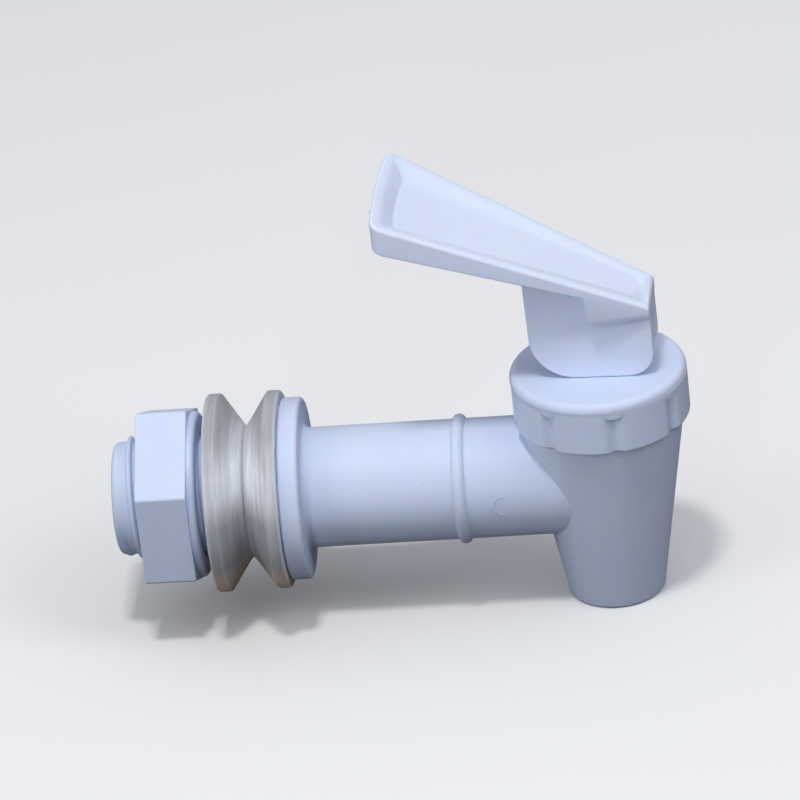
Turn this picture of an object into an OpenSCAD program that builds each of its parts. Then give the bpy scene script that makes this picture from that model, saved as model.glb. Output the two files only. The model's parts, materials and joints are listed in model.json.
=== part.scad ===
// Water dispenser spigot, in millimetres.
// The origin is the middle of the flange's rear face, on the axis of the barrel.
// +X runs from the tank towards the spout and +Z is up.

/* [Threaded shank] */
// Length of the shank behind the flange
shank_len = 25.5; // [22:0.5:45]
// Diameter of the shank at the root of its thread
shank_d = 16.9; // [15.5:0.1:17.6]
// Diameter over the crests of the thread, which the washers clear
thread_d = 18.4; // [17.8:0.1:18.6]
// Rounding on the end of the shank
shank_end_r = 0.9; // [0.3:0.1:1.5]
// Diameter of the water way through the shank and the barrel
bore_d = 12.4; // [8:0.2:12.8]
// Distance from the flange's rear face to the step at which the water way narrows
bore_end_x = 32; // [20:0.5:34]
// Diameter of the port from there to the valve chamber
port_d = 10; // [7:0.2:11]

/* [Flange and barrel] */
// Diameter of the flange
flange_d = 27.3; // [24:0.1:29]
// Thickness of the flange
flange_t = 3.1; // [2:0.1:5]
// Rounding on the front edge of the flange
flange_edge_r = 0.6; // [0.2:0.1:0.9]
// Cove where the barrel leaves the flange
root_cove_r = 0.9; // [0.3:0.1:1.5]
// Diameter of the barrel
barrel_d = 18; // [17:0.1:19]
// Distance from the flange's rear face to the middle of the rib round the barrel
rib_x = 26.4; // [12:0.2:32]
// Width of the rib
rib_w = 1.9; // [1:0.1:3]
// Height of the rib above the barrel
rib_h = 0.7; // [0.3:0.1:1.2]

/* [Valve chamber and spout] */
// Distance from the flange's rear face to the spout's axis
spout_x = 48; // [44:0.5:70]
// Height of the chamber's shoulder above the barrel's axis
shoulder_z = 9.9; // [9.6:0.1:12]
// Diameter of the chamber at its shoulder
shoulder_d = 24.5; // [24:0.1:25.6]
// Depth of the spout's mouth below the barrel's axis
spout_drop = 19.8; // [16:0.2:30]
// Outer diameter of the spout's mouth
mouth_d = 14.6; // [13.4:0.1:16]
// Rounding on the edge of the mouth
mouth_edge_r = 0.6; // [0.2:0.1:0.8]
// Bore of the spout's mouth
mouth_bore_d = 10.4; // [9.4:0.1:11.4]
// Diameter of the throat that the seat cup closes
throat_d = 9; // [7:0.1:9.2]
// Depth of the chamber's floor below the barrel's axis
floor_drop = 7.5; // [7:0.1:9]
// Height of the seat lip that stands on the chamber's floor
lip_h = 1; // [0.4:0.1:1.4]
// Width of the top of the seat lip
lip_w = 0.7; // [0.4:0.1:0.9]
// Diameter of the chamber under the collar
chamber_d = 18; // [17.8:0.1:19]
// Diameter of the chamber at its floor
chamber_floor_d = 14.8; // [14.4:0.1:15.6]
// Depth below the shoulder at which the chamber begins to taper
chamber_taper_drop = 1.9; // [1:0.1:4]
// Length of the throat
throat_len = 3; // [2:0.1:5]

/* [Collar and bonnet cap] */
// Outer diameter of the collar that the cap screws on
collar_d = 22.8; // [22.2:0.1:23.2]
// Height of the collar above the shoulder
collar_h = 4.5; // [3.5:0.1:7]
// Radial clearance between the collar and the cap
cap_fit = 0.1; // [0.05:0.05:0.15]
// Diameter of the cap over its top rim
cap_d = 26.4; // [26.2:0.1:28]
// Thickness of the cap's top plate
cap_plate_t = 2.3; // [2:0.1:3.5]
// Rounding round the top of the cap
cap_top_r = 1.2; // [0.8:0.1:1.5]
// Height of the rim below that rounding
cap_rim_h = 0.2; // [0.15:0.05:0.5]
// Step from the rim in to the side
cap_step = 0.2; // [0.1:0.05:0.3]
// Distance from the cap's top face down to the upper ends of the grip flutes
flute_drop = 2.4; // [2.2:0.1:4]
// Number of grip flutes
flute_n = 8; // [6:1:12]
// Width of a flute at the cap's surface
flute_w = 2.5; // [1.6:0.1:3.2]
// Width of a flute at its bottom
flute_floor_w = 1.5; // [0.8:0.1:1.5]
// Depth of a flute
flute_depth = 0.75; // [0.4:0.05:0.9]
// Turn of the first flute from the X axis
flute_turn = 11; // [0:0.5:45]

/* [Seat cup] */
// Thickness of the cup's clamped rim
cup_rim_t = 1.5; // [1:0.1:2]
// Diameter of the cup's clamped rim
cup_rim_d = 20.8; // [19.4:0.1:22]
// Thickness of the cup's bell
cup_wall = 0.8; // [0.6:0.05:1]
// Gap between the bell and the chamber's wall
bell_gap = 0.5; // [0.4:0.05:0.7]
// Diameter of the closing plug
plug_d = 11.8; // [11.2:0.1:12.4]
// Gap that stands for the line contact between the plug and the seat lip
seal_gap = 0.07; // [0.03:0.01:0.1]
// Depth of the plug's nose in the throat
nose_depth = 1.4; // [0.6:0.1:2]

/* [Stem and spring] */
// Diameter of the stem
stem_d = 4.6; // [4:0.1:5]
// Running clearance of the stem in the cap
stem_fit = 0.08; // [0.04:0.01:0.1]
// Diameter of the plate that the spring pushes on
spring_plate_d = 11.6; // [10.8:0.1:11.8]
// Thickness of that plate
spring_plate_t = 1.4; // [1:0.1:2]
// Height of the plate's top above the barrel's axis
spring_plate_z = 4; // [3.2:0.1:6]
// Diameter of the neck under the plate
neck_d = 4.5; // [3.6:0.1:5]
// Length of the neck under the plate
neck_len = 2.7; // [2:0.1:3]
// Diameter of the knob that snaps into the plug
knob_d = 6.8; // [6:0.1:7.4]
// Height of the knob
knob_h = 3.4; // [2.8:0.1:3.8]
// Lead-in chamfer under the knob
knob_lead = 0.9; // [0.4:0.1:1.2]
// Clearance of the knob and its neck in the plug
knob_fit = 0.08; // [0.04:0.01:0.1]
// Height of the pivot above the cap
pivot_rise = 4.5; // [4.3:0.1:6]
// Diameter of the stem's round head
head_d = 6.8; // [6:0.1:7.4]
// Diameter of the pivots on the head
pivot_d = 3; // [2.4:0.1:3.4]
// Length of one pivot out of the head
pivot_len = 0.9; // [0.6:0.05:1]
// Diameter of the spring's wire
wire_d = 0.9; // [0.6:0.05:1.1]
// Outer diameter of the spring
spring_od = 10; // [9:0.1:10.4]
// Gap between the spring and the boss that centres it
spring_boss_gap = 0.5; // [0.2:0.05:0.8]
// Number of turns in the spring
spring_turns = 6; // [5:1:8]

/* [Lever] */
// Turn of the lever about the spout's axis
lever_turn = -3; // [-45:1:45]
// Width over the two cheeks
cheek_w = 8.6; // [8.2:0.1:9.4]
// Clearance of the stem's head between the cheeks
slot_fit = 0.1; // [0.08:0.01:0.2]
// Clearance of the pivots in their sockets
pivot_fit = 0.08; // [0.04:0.01:0.1]
// Distance from the pivot back to the cheeks' rear edge
cheek_back = 9.1; // [8.6:0.1:10]
// Distance from the pivot forward to the cheeks' front edge
cheek_front = 9.1; // [8:0.1:10]
// Radius of the heel that lifts the stem as it rolls on the cap
heel_r = 6.4; // [5:0.1:6.8]
// Radius of the cheeks' front corner
toe_r = 3.9; // [1:0.1:4.4]
// Draft on the cheeks' rear edge
cheek_draft = 0.45; // [0:0.05:0.8]
// Gap under the resting cheeks
lever_gap = 0.05; // [0.03:0.01:0.1]
// Distance from the pivot back to the tip of the paddle
paddle_back = 29.8; // [24:0.2:40]
// Width of the paddle at its tip
tip_w = 24.6; // [18:0.2:28]
// Width of the paddle at its front end
end_w = 10; // [9.6:0.1:12]
// Height of the paddle's front end above the cap
end_rise = 11.8; // [11:0.1:14]
// Slope of the paddle's upper edges in degrees
top_slope = 26; // [20:0.5:32]
// Height of the paddle's side wall at its tip
tip_wall = 4.6; // [4:0.1:6]
// Height of the paddle's side wall at its front end
end_wall = 1; // [0.8:0.05:1.4]
// Setback of the paddle's front end from the cheeks' front edge
lip_recess = 0.1; // [0.05:0.05:0.3]
// Corner radius of the tip
tip_corner_r = 1.9; // [1:0.1:4]
// Bow of the tip's edge between its corners
tip_bow = 0.4; // [0:0.1:1]
// Width of the rim beside the scooped face
side_rim = 1; // [0.7:0.1:1.4]
// Width of the rim along the tip
tip_rim = 1.3; // [1:0.1:3]
// Depth of the scoop near the tip
scoop_tip_depth = 1.7; // [1:0.1:2.4]
// Depth of the scoop near the front end
scoop_end_depth = 0.35; // [0.2:0.05:0.5]
// Lean of the scoop's gentle sides in degrees
scoop_lean = 70; // [40:1:74]
// Lean of the scoop's end at the tip in degrees
scoop_tip_lean = 43; // [10:1:60]
// Thickness of the wall between the cheeks
front_wall_t = 1.3; // [0.9:0.1:2]
// Recess of that wall behind the cheeks' front edges
wall_recess = 0.35; // [0.1:0.05:0.6]
// Gap between that wall's lower edge and the cap
front_wall_lift = 1.4; // [0.8:0.1:3]
// Height above the cap of the lower edge of the skirts beside the cheeks
skirt_rise = 10.8; // [10:0.1:11]
// Distance from the pivot forward to the foot of a skirt's rear edge
skirt_start = 0.2; // [-1:0.1:2]
// Draft of a skirt's rear edge
skirt_draft = 0.9; // [0.4:0.1:1.4]
// Distance a skirt's outer face stands in from the paddle's edge
skirt_step = 0.05; // [0.04:0.01:0.2]
// Thickness of the paddle over the slot for the stem's head
slot_roof = 0.6; // [0.4:0.05:0.8]

/* [Washers and lock nut] */
// Diameter of the washers
washer_d = 29.8; // [28:0.1:32]
// Thickness of one washer
washer_t = 5.5; // [4:0.1:8]
// Width of a washer's rim
washer_rim_w = 2; // [1.4:0.1:2.6]
// Rounding of a washer's rim
washer_edge_r = 0.6; // [0.3:0.1:0.7]
// Diameter of a washer's nose
nose_d = 19.5; // [19.3:0.1:21]
// Radial clearance of the washers over the thread
washer_fit = 0.1; // [0.05:0.05:0.2]
// Gap that stands for the contact between the two noses
nose_gap = 0.1; // [0.05:0.05:0.2]
// Width across the flats of the nut
nut_af = 25.4; // [24:0.1:27]
// Length of the nut's hexagon
hex_len = 7.6; // [5:0.1:10]
// Diameter of the round collar in front of the hexagon
nut_collar_d = 24.9; // [23:0.1:25.2]
// Length of that collar
nut_collar_len = 1.1; // [0.8:0.1:3]
// Rounding on the collar's front edge
nut_collar_r = 0.4; // [0.2:0.05:0.6]
// Distance between the slack nut and the inner washer
nut_slack = 1.4; // [0.2:0.1:4]
// Turn of the nut about the barrel's axis
nut_turn = 2.7; // [-30:0.1:30]
// Running clearance of the nut on the shank
nut_fit = 0.08; // [0.04:0.01:0.1]

/* [Hidden] */
$fn = 96;
// Steps in a rounded edge, in the heel and toe of the lever, and in half of the bow of its tip
edge_steps = 6;
heel_steps = 12;
bow_steps = 4;
// Overlap that lets a cut run clear of a face
clear = 0.2;

collar_top_z = shoulder_z + collar_h;
plate_z = collar_top_z + cup_rim_t;
cap_top_z = plate_z + cap_plate_t;
cap_in_r = collar_d / 2 + cap_fit;
pivot_z = cap_top_z + pivot_rise;
floor_z = -floor_drop;
lip_z = floor_z + lip_h;
throat_r = throat_d / 2;
slot_half = stem_d / 2 + slot_fit;
shaft_r = shank_d / 2;
spring_r = (spring_od - wire_d) / 2;
washer_bore_r = thread_d / 2 + washer_fit;
inner_washer_x = -2 * washer_t - nose_gap;
nut_front_x = inner_washer_x - nut_slack;
plastic = [0.86, 0.9, 0.98];
silicone = [0.82, 0.83, 0.82];
steel = [0.75, 0.76, 0.78];

// Points of an arc from angle a0 to angle a1
function arc_pts(c, r, a0, a1, n = edge_steps) =
    [for (i = [0:n]) let (a = a0 + (a1 - a0) * i / n) c + r * [cos(a), sin(a)]];

// A profile drawn as radius and height is turned about the X axis
module turn_on_x() rotate([0, 90, 0]) rotate_extrude() children();
module on_spout_axis() translate([spout_x, 0, 0]) children();
module on_lever_axis() on_spout_axis() rotate([0, 0, lever_turn]) children();

// Body: shank, flange, barrel, chamber and spout are one moulding
rib_arc_r = (pow(rib_w / 2, 2) + pow(rib_h, 2)) / (2 * rib_h);
rib_arc_a = asin(min(1, rib_w / 2 / rib_arc_r));
module shank_and_barrel() {
    r_f = flange_d / 2;
    r_b = barrel_d / 2;
    turn_on_x() polygon(concat(
        [[0, -shank_len]],
        arc_pts([shaft_r - shank_end_r, shank_end_r - shank_len], shank_end_r, -90, 0),
        [[shaft_r, 0], [r_f - flange_edge_r / 2, 0], [r_f, flange_edge_r / 2]],
        arc_pts([r_f - flange_edge_r, flange_t - flange_edge_r], flange_edge_r, 0, 90),
        arc_pts([r_b + root_cove_r, flange_t + root_cove_r], root_cove_r, 270, 180),
        arc_pts([r_b + rib_h - rib_arc_r, rib_x], rib_arc_r, -rib_arc_a, rib_arc_a, 2 * edge_steps),
        [[r_b, spout_x], [0, spout_x]]));
}
module chamber_and_spout() {
    r_m = mouth_d / 2;
    r_c = collar_d / 2;
    rotate_extrude() polygon(concat(
        [[0, -spout_drop]],
        arc_pts([r_m - mouth_edge_r, mouth_edge_r - spout_drop], mouth_edge_r, -90, 0),
        [[shoulder_d / 2, shoulder_z], [r_c, shoulder_z], [r_c, collar_top_z - 2 * cap_fit]],
        [[r_c - 2 * cap_fit, collar_top_z], [0, collar_top_z]]));
}
module valve_chamber() {
    // The chamber tapers to a floor with a raised lip round the throat
    taper_top_z = shoulder_z - chamber_taper_drop;
    lip_r = throat_r + lip_w;
    rotate_extrude() polygon([
        [0, collar_top_z + clear], [chamber_d / 2, collar_top_z + clear],
        [chamber_d / 2, taper_top_z], [chamber_floor_d / 2, floor_z + lip_h],
        [chamber_floor_d / 2 - lip_h, floor_z], [lip_r + lip_h / 5, floor_z],
        [lip_r, lip_z], [0, lip_z]]);
}
module throat_and_mouth() {
    r_o = mouth_bore_d / 2;
    throat_end_z = lip_z - throat_len;
    flare = r_o - throat_r;
    translate([0, 0, throat_end_z - flare]) cylinder(h = throat_len + flare + clear, r = throat_r);
    translate([0, 0, throat_end_z - flare]) cylinder(h = flare, r1 = r_o, r2 = throat_r);
    mouth_len = spout_drop + throat_end_z - flare;
    translate([0, 0, -spout_drop - clear]) cylinder(h = mouth_len + clear, r = r_o);
}
module body() {
    color(plastic) difference() {
        union() {
            shank_and_barrel();
            on_spout_axis() chamber_and_spout();
        }
        translate([-shank_len - clear, 0, 0]) rotate([0, 90, 0])
            cylinder(h = shank_len + bore_end_x + clear, d = bore_d);
        rotate([0, 90, 0]) cylinder(h = spout_x, d = port_d);
        on_spout_axis() valve_chamber();
        on_spout_axis() throat_and_mouth();
    }
}

// Bonnet cap: screws on the collar and clamps the rim of the seat cup
cap_foot_z = shoulder_z + cap_fit;
rim_z = cap_top_z - cap_top_r - cap_rim_h;
module cap_shell() {
    r_rim = cap_d / 2;
    r_side = r_rim - cap_step;
    r_hole = stem_d / 2 + stem_fit;
    rotate_extrude() polygon(concat(
        [[r_hole, plate_z], [cap_in_r, plate_z], [cap_in_r, cap_foot_z + cap_step]],
        [[cap_in_r + cap_step, cap_foot_z], [r_side - cap_step, cap_foot_z]],
        [[r_side, cap_foot_z + cap_step], [r_side, rim_z], [r_rim, rim_z + cap_step / 2]],
        arc_pts([r_rim - cap_top_r, cap_top_z - cap_top_r], cap_top_r, 0, 90),
        [[r_hole, cap_top_z]]));
}
module flute() {
    // A flute has slanted sides and runs out through the foot of the cap
    r_side = cap_d / 2 - cap_step;
    grow = (flute_w - flute_floor_w) / (2 * flute_depth);
    out = cap_step + clear;
    flute_len = cap_top_z - flute_drop - cap_foot_z;
    translate([0, 0, cap_foot_z - clear]) linear_extrude(flute_len + clear) polygon([
        [r_side - flute_depth, -flute_floor_w / 2],
        [r_side + out, -flute_w / 2 - grow * out],
        [r_side + out, flute_w / 2 + grow * out],
        [r_side - flute_depth, flute_floor_w / 2]]);
}
module bonnet_cap() {
    color(plastic) on_spout_axis() difference() {
        cap_shell();
        for (i = [0:flute_n - 1]) rotate([0, 0, flute_turn + i * 360 / flute_n]) flute();
    }
}

// Seat cup: a silicone bell that keeps water off the stem and closes the throat
plate_low_z = spring_plate_z - spring_plate_t;
knob_top_z = plate_low_z - neck_len;
knob_low_z = knob_top_z - knob_h;
module seat_cup() {
    r_plug = plug_d / 2;
    r_pocket = spring_plate_d / 2 + knob_fit;
    r_lip = throat_r - seal_gap;
    r_neck = neck_d / 2 + knob_fit;
    r_knob = knob_d / 2 + knob_fit;
    r_bell = chamber_d / 2 - bell_gap;
    bell_low_z = spring_plate_z + 2 * knob_fit;
    bell_top_z = collar_top_z - cup_wall;
    color(silicone) on_spout_axis() rotate_extrude() polygon([
        [0, lip_z - nose_depth], [r_lip - nose_depth, lip_z - nose_depth],
        [r_plug, lip_z + r_plug - r_lip], [r_plug, knob_top_z],
        [r_pocket + cup_wall, plate_low_z - knob_fit], [r_pocket + cup_wall, bell_low_z],
        [r_bell, bell_top_z], [r_bell, collar_top_z],
        [cup_rim_d / 2, collar_top_z], [cup_rim_d / 2, plate_z],
        [r_bell - cup_wall, plate_z], [r_bell - cup_wall, bell_top_z],
        [r_pocket, bell_low_z], [r_pocket, plate_low_z - knob_fit],
        [r_neck, plate_low_z - knob_fit], [r_neck, knob_top_z + knob_fit],
        [r_knob, knob_top_z + knob_fit], [r_knob, knob_low_z + knob_lead - knob_fit],
        [r_knob - knob_lead, knob_low_z - knob_fit], [0, knob_low_z - knob_fit]]);
}

// Stem: carries the lever on its head and pulls the plug by its knob
module stem() {
    r_knob = knob_d / 2;
    r_rod = stem_d / 2;
    color(plastic) on_spout_axis() {
        rotate_extrude() polygon([
            [0, knob_low_z], [r_knob - knob_lead, knob_low_z], [r_knob, knob_low_z + knob_lead],
            [r_knob, knob_top_z], [neck_d / 2, knob_top_z], [neck_d / 2, plate_low_z],
            [spring_plate_d / 2, plate_low_z], [spring_plate_d / 2, spring_plate_z],
            [r_boss, spring_plate_z], [r_rod, spring_plate_z + r_boss - r_rod],
            [r_rod, pivot_z], [0, pivot_z]]);
        rotate([0, 0, lever_turn]) translate([0, 0, pivot_z]) rotate([90, 0, 0]) {
            cylinder(h = stem_d, d = head_d, center = true);
            cylinder(h = stem_d + 2 * pivot_len, d = pivot_d, center = true);
        }
    }
}
r_boss = spring_r - wire_d / 2 - spring_boss_gap;

// Spring: a round wire wound between the cap and the stem's plate, with its ends closed flat
wire_sides = 8;
turn_steps = 20;
spring_gap = 0.02;
spring_low_z = spring_plate_z + wire_d / 2 + spring_gap;
spring_high_z = plate_z - wire_d / 2 - spring_gap;
// Rise of the wire: the first and last turn lie flat and the others share the length
function spring_z(t) = let (u = max(0, min(1, (t - 1) / (spring_turns - 2))))
    spring_low_z + wire_d * min(t, 1) + wire_d * max(0, t - spring_turns + 1)
    + (spring_high_z - spring_low_z - 2 * wire_d) * u;
function wire_ring(t) = [for (k = [0:wire_sides - 1]) let (
    b = 360 * k / wire_sides, r = spring_r + wire_d / 2 * cos(b))
    [r * cos(360 * t), r * sin(360 * t), spring_z(t) + wire_d / 2 * sin(b)]];
module spring() {
    n = spring_turns * turn_steps;
    rings = [for (i = [0:n]) each wire_ring(i / turn_steps)];
    last = n * wire_sides;
    sides = [for (i = [0:n - 1], k = [0:wire_sides - 1]) let (
        a = i * wire_sides + k, b = i * wire_sides + (k + 1) % wire_sides)
        [a, a + wire_sides, b + wire_sides, b]];
    ends = [[for (k = [0:wire_sides - 1]) k],
            [for (k = [0:wire_sides - 1]) last + wire_sides - 1 - k]];
    color(steel) on_spout_axis() polyhedron(rings, concat(sides, ends), convexity = 10);
}

// Lever: a scooped paddle on two cheeks that straddle the stem's head
paddle_front = cheek_front - lip_recess;
paddle_len = paddle_back + paddle_front;
end_z = cap_top_z + end_rise;
cheek_low_z = cap_top_z + lever_gap;
side_a = atan((tip_w - end_w) / 2 / paddle_len);
function half_w(x) = end_w / 2 + (paddle_front - x) * tan(side_a);
function ridge_z(x) = end_z + (paddle_front - x) * tan(top_slope);
function under_z(x) = ridge_z(x) - end_wall - (tip_wall - end_wall) * (paddle_front - x) / paddle_len;
module across(w) rotate([90, 0, 0]) linear_extrude(w, center = true) children();

module paddle_blank() {
    // Plan outline with rounded tip corners, cut to the side profile
    r = tip_corner_r;
    c = [r - paddle_back, tip_w / 2 - r * tan(side_a) - r / cos(side_a)];
    corner = arc_pts(c, r, 180, 90 - side_a);
    flip = [for (i = [len(corner) - 1:-1:0]) [corner[i][0], -corner[i][1]]];
    bow = [for (i = [1 - bow_steps:bow_steps - 1]) let (u = i / bow_steps)
        [-paddle_back - tip_bow * (1 - u * u), u * c[1]]];
    back_x = -paddle_back - tip_bow - clear;
    intersection() {
        linear_extrude(ridge_z(back_x) + clear) polygon(concat(
            bow, corner, [[paddle_front, end_w / 2], [paddle_front, -end_w / 2]], flip));
        across(tip_w + 2 * clear) polygon([
            [back_x, ridge_z(back_x)], [paddle_front, end_z],
            [paddle_front, under_z(paddle_front)], [back_x, under_z(back_x)]]);
    }
}
module scoop() {
    // A shallow dish, deepest at the tip, whose floor is joined to the rim by leaning sides
    back_x = -paddle_back + tip_rim;
    front_x = paddle_front - side_rim;
    back_run = scoop_tip_depth * tan(scoop_tip_lean);
    front_run = -scoop_end_depth * tan(scoop_lean);
    // A corner of the floor has share 1, and a corner over the rim a share below 0
    function corner(rim_x, run, depth, share, side) = let (x = rim_x + run * share, d = depth * share)
        [x, side * (half_w(x) - side_rim - d * tan(scoop_lean)), ridge_z(x) - d];
    function ring(share) = [
        corner(back_x, back_run, scoop_tip_depth, share, -1),
        corner(front_x, front_run, scoop_end_depth, share, -1),
        corner(front_x, front_run, scoop_end_depth, share, 1),
        corner(back_x, back_run, scoop_tip_depth, share, 1)];
    polyhedron(concat(ring(1), ring(-0.4)), [
        [0, 1, 2, 3], [7, 6, 5, 4], [0, 4, 5, 1], [1, 5, 6, 2], [2, 6, 7, 3], [3, 7, 4, 0]]);
}
module cheek_outline() {
    back_top = [-cheek_back - cheek_draft, ridge_z(-cheek_back) - end_wall];
    front_top = [cheek_front - lip_recess, end_z - end_wall];
    polygon(concat(
        [back_top],
        arc_pts([heel_r - cheek_back, cheek_low_z + heel_r], heel_r, 182, 270, heel_steps),
        arc_pts([cheek_front - toe_r, cheek_low_z + toe_r], toe_r, 270, 360, heel_steps),
        [front_top]));
}
module skirt() {
    // The skirt carries the paddle's side down over the cheek, with a sloping lower face
    low_z = cap_top_z + skirt_rise;
    in_y = cheek_w / 2 - clear;
    x_low = skirt_start;
    x_top = x_low - skirt_draft;
    x_in = x_low + skirt_draft / 2;
    x_end = paddle_front;
    function out_y(x) = half_w(x) - skirt_step;
    polyhedron([
        [x_top, out_y(x_top), under_z(x_top) + clear], [x_low, out_y(x_low), low_z],
        [x_in, in_y, low_z - out_y(x_low) + in_y], [x_top, in_y, under_z(x_top) + clear],
        [x_end, out_y(x_end), under_z(x_end) + clear], [x_end, out_y(x_end), low_z],
        [x_end, in_y, low_z - out_y(x_end) + in_y], [x_end, in_y, under_z(x_end) + clear]],
        [[3, 2, 1, 0], [4, 5, 6, 7], [1, 5, 4, 0], [2, 6, 5, 1], [3, 7, 6, 2], [0, 4, 7, 3]]);
}
module cheek_slot() {
    // The slot takes the stem's head, and leaves a wall at the front
    back = -cheek_back - 2 * cheek_draft - clear;
    wall_x = cheek_front - lip_recess - wall_recess - front_wall_t;
    low = cheek_low_z - clear;
    across(2 * slot_half) polygon([
        [back, low], [wall_x, low],
        [wall_x, under_z(wall_x) - slot_roof], [back, under_z(back) - slot_roof]]);
    across(2 * slot_half) polygon([
        [wall_x - clear, low], [cheek_front + clear, low],
        [cheek_front + clear, cap_top_z + front_wall_lift],
        [wall_x - clear, cap_top_z + front_wall_lift]]);
    across(2 * slot_half) polygon([
        [wall_x + front_wall_t, low], [cheek_front + clear, low],
        [cheek_front + clear, under_z(paddle_front) - clear],
        [wall_x + front_wall_t, under_z(paddle_front) - clear]]);
}
module lever() {
    color(plastic) on_lever_axis() difference() {
        union() {
            paddle_blank();
            across(cheek_w) cheek_outline();
            skirt();
            mirror([0, 1, 0]) skirt();
        }
        scoop();
        cheek_slot();
        translate([0, 0, pivot_z]) rotate([90, 0, 0])
            cylinder(h = stem_d + 2 * pivot_len + 2 * slot_fit, d = pivot_d + 2 * pivot_fit,
                     center = true);
    }
}

// Washers: two alike, nose to nose, which grip the tank's wall between them
module washer() {
    r_w = washer_d / 2;
    e = washer_edge_r;
    slope_a = atan((washer_t - washer_rim_w) / (r_w - nose_d / 2));
    turn_on_x() polygon(concat(
        [[washer_bore_r, 0]],
        arc_pts([r_w - e, e], e, -90, 0),
        arc_pts([r_w - e, washer_rim_w - e], e, 0, 90 - slope_a),
        [[nose_d / 2, washer_t], [washer_bore_r, washer_t]]));
}
module outer_washer() color(silicone) mirror([1, 0, 0]) washer();
module inner_washer() color(silicone) translate([inner_washer_x, 0, 0]) washer();

// Lock nut: a plain hexagon with a round collar in front
module lock_nut() {
    hex_x = nut_front_x - nut_collar_len;
    back_x = hex_x - hex_len;
    r_c = nut_collar_d / 2;
    color(plastic) rotate([nut_turn, 0, 0]) difference() {
        union() {
            translate([back_x, 0, 0]) rotate([0, 90, 0])
                cylinder(h = hex_len, r = nut_af / sqrt(3), $fn = 6);
            turn_on_x() polygon(concat(
                [[0, hex_x - clear], [r_c, hex_x - clear]],
                arc_pts([r_c - nut_collar_r, nut_front_x - nut_collar_r], nut_collar_r, 0, 90),
                [[0, nut_front_x]]));
        }
        translate([back_x - clear, 0, 0]) rotate([0, 90, 0])
            cylinder(h = nut_front_x - back_x + 2 * clear, r = shaft_r + nut_fit);
    }
}

body();
bonnet_cap();
seat_cup();
spring();
stem();
lever();
outer_washer();
inner_washer();
lock_nut();
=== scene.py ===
import json
import math

import bmesh
import bpy
from mathutils import Matrix, Vector


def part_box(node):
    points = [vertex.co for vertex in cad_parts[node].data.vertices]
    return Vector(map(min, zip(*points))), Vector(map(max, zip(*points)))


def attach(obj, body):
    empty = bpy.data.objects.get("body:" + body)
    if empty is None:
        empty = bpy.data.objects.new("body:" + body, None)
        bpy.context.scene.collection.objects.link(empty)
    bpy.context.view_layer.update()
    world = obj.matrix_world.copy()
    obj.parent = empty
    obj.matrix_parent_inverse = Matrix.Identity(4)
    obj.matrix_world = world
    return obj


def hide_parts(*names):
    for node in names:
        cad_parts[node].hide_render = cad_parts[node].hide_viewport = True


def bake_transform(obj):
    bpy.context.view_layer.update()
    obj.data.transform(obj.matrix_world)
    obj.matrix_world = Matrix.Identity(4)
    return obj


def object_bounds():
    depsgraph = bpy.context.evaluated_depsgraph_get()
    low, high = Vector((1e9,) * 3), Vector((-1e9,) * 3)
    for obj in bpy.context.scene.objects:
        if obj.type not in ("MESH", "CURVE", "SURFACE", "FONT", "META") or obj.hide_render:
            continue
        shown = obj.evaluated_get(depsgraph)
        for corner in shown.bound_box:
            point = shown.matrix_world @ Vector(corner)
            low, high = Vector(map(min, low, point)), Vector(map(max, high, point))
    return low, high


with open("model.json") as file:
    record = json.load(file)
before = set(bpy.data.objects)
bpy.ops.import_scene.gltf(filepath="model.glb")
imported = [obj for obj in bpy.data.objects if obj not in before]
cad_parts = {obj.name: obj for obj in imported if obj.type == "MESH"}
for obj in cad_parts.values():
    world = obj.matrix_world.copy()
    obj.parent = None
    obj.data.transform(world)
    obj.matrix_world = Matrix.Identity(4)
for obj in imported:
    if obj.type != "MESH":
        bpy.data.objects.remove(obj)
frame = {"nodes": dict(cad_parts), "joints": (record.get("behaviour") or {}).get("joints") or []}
cad_low, cad_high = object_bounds()

# Body
# The shank, flange, barrel, valve chamber and spout are one injection moulding in a bluish white
# plastic with a soft gloss. Its solid has the finished shape, so only the finish is made here.
mm = 0.001
plastic_tint = (0.59, 0.675, 0.855, 1.0)
plastic_shade = (0.55, 0.635, 0.82, 1.0)
plastic_wave = 0.02 * mm
plastic_gloss = 0.46
speck_tint = (0.2, 0.17, 0.19, 1.0)
speck_cell = 1.25 * mm
speck_r = 0.1125 * mm
speck_share = 0.035


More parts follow.
